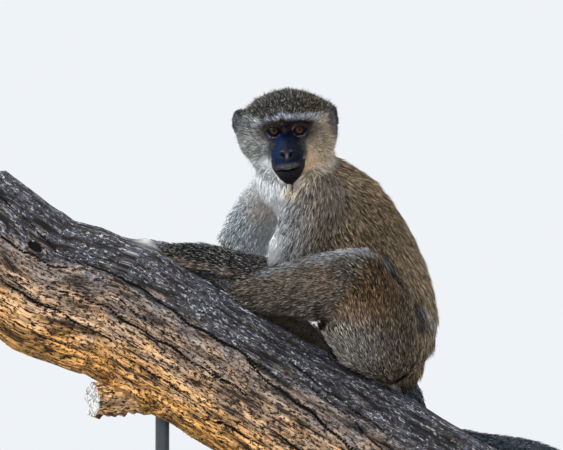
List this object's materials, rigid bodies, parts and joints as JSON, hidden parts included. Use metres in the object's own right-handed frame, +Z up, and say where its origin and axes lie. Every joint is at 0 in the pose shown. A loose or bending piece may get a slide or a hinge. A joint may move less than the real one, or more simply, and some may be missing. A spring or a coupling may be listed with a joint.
{
  "type": "seated vervet monkey model",
  "caption": "Life-size vervet monkey sitting on a sloping dead branch, knees drawn up, hands and feet on the wood, face turned to the viewer, tail hanging; plain display stand.",
  "frame": {"origin": "on the underside of the stand's base, below the middle of the perch", "axes": "+Z up; the branch and the animal's body face up the slope towards -X; the face is turned towards -Y, and the animal's left side is nearer to -Y"},
  "size_m": [0.6824, 0.25, 0.6561],
  "materials": {
    "fur_crown": "short grizzled grey-brown fur",
    "fur_bib": "long soft off-white fur of the throat and chest",
    "fur_back": "grizzled ochre-brown fur of the back and thighs",
    "fur_limbs": "short grizzled grey fur of the arms, shins and tail",
    "bare_skin": "blue-black bare skin, slightly satin",
    "eye_amber": "wet amber-brown eye",
    "weathered_wood": "barkless dead wood, cracked along the grain, grey above and ochre below",
    "base_board": "board lacquered matt dark grey",
    "rod_steel": "satin dark grey paint"
  },
  "bodies": {
    "root": {"head": "fur_crown", "neck": "fur_bib", "trunk": "fur_back", "ear_left": "bare_skin", "ear_right": "bare_skin", "eye_left": "eye_amber", "eye_right": "eye_amber", "upper_arm_left": "fur_limbs", "upper_arm_right": "fur_limbs", "forearm_left": "fur_limbs", "forearm_right": "fur_limbs", "hand_left": "bare_skin", "hand_right": "bare_skin", "thigh_left": "fur_back", "thigh_right": "fur_back", "shin_left": "fur_limbs", "shin_right": "fur_limbs", "foot_left": "bare_skin", "foot_right": "bare_skin", "tail_root": "fur_limbs", "tail_middle": "fur_limbs", "tail_tip": "fur_limbs", "perch": "weathered_wood", "stand_base": "base_board", "stand_rod_upper": "rod_steel", "stand_rod_lower": "rod_steel"}
  },
  "joints": []
}
